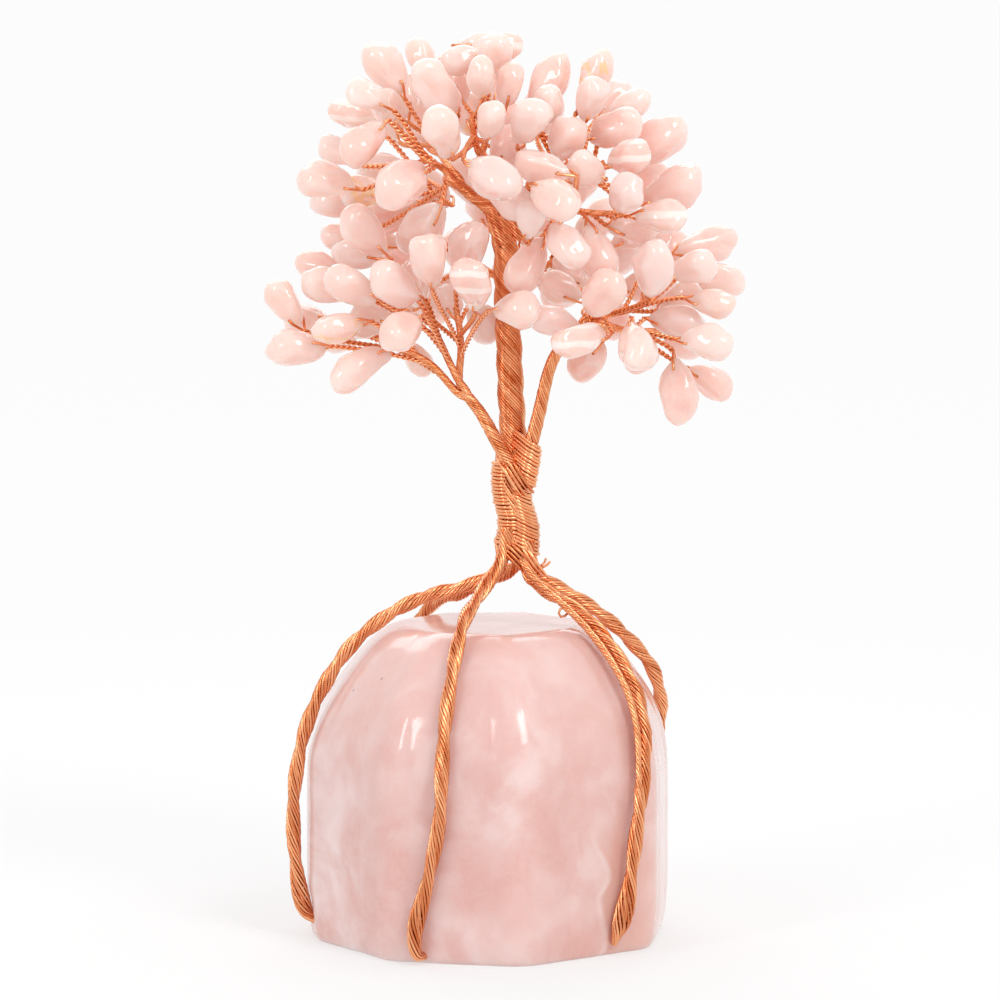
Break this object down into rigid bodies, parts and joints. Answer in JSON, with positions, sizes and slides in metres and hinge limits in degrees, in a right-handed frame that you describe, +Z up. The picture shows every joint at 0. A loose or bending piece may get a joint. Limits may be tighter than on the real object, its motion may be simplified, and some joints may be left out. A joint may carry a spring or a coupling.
{
  "type": "gemstone tree ornament",
  "caption": "Wire tree ornament with tumbled rose quartz chips on twisted copper twigs, its roots arching over and gripping a faceted rose quartz base.",
  "frame": {"origin": "on the stone's flat underside, under the middle of its outline, where the ornament stands", "axes": "+Z up from the underside to the crown, -Y towards the front seen in the picture, +X to the right in the picture"},
  "size_m": [0.0688, 0.055, 0.1322],
  "materials": {
    "stone": "polished, cloudy and slightly translucent rose quartz",
    "chips": "tumbled and polished, translucent pale rose quartz",
    "copper": "bright bare copper wire"
  },
  "bodies": {
    "trunk": {"root_back": "copper", "root_front": "copper", "root_left": "copper", "root_right_back": "copper", "root_right_front": "copper", "stone_base": "stone", "trunk_binding": "copper", "trunk_lower": "copper", "trunk_upper": "copper", "upper_left_back_chips": "chips", "upper_left_back_wires": "copper", "upper_left_bough": "copper", "upper_left_front_chips": "chips", "upper_left_front_wires": "copper", "upper_left_high_chips": "chips", "upper_left_high_wires": "copper", "upper_right_bough": "copper", "upper_right_far_chips": "chips", "upper_right_far_wires": "copper", "upper_right_front_chips": "chips", "upper_right_front_wires": "copper", "upper_right_high_chips": "chips", "upper_right_high_wires": "copper"},
    "left_bough": {"left_bough": "copper", "left_low_wires": "copper", "left_low_chips": "chips", "left_mid_wires": "copper", "left_mid_chips": "chips", "left_inner_wires": "copper", "left_inner_chips": "chips"},
    "right_bough": {"right_bough": "copper", "right_inner_wires": "copper", "right_inner_chips": "chips", "right_outer_wires": "copper", "right_outer_chips": "chips", "right_low_wires": "copper", "right_low_chips": "chips"},
    "back_bough": {"back_bough": "copper", "back_left_wires": "copper", "back_left_chips": "chips", "back_mid_wires": "copper", "back_mid_chips": "chips", "back_right_wires": "copper", "back_right_chips": "chips"},
    "top_bough": {"top_bough": "copper", "top_front_wires": "copper", "top_front_chips": "chips", "top_back_wires": "copper", "top_back_chips": "chips"}
  },
  "joints": [
    {"name": "left_bough_bend", "type": "hinge", "parent": "trunk", "child": "left_bough", "pos_m": [0.00116, -0.00261, 0.07246], "axis": [0, -1, 0], "range_deg": [0, 20]},
    {"name": "right_bough_bend", "type": "hinge", "parent": "trunk", "child": "right_bough", "pos_m": [0.00624, -0.00261, 0.07246], "axis": [0, 1, 0], "range_deg": [0, 20]},
    {"name": "back_bough_bend", "type": "hinge", "parent": "trunk", "child": "back_bough", "pos_m": [0.00392, 0.00377, 0.07246], "axis": [-1, 0, 0], "range_deg": [0, 20]},
    {"name": "top_bough_bend", "type": "hinge", "parent": "trunk", "child": "top_bough", "pos_m": [0.00111, 0.00189, 0.10697], "axis": [-1, 0, 0], "range_deg": [0, 12]}
  ]
}
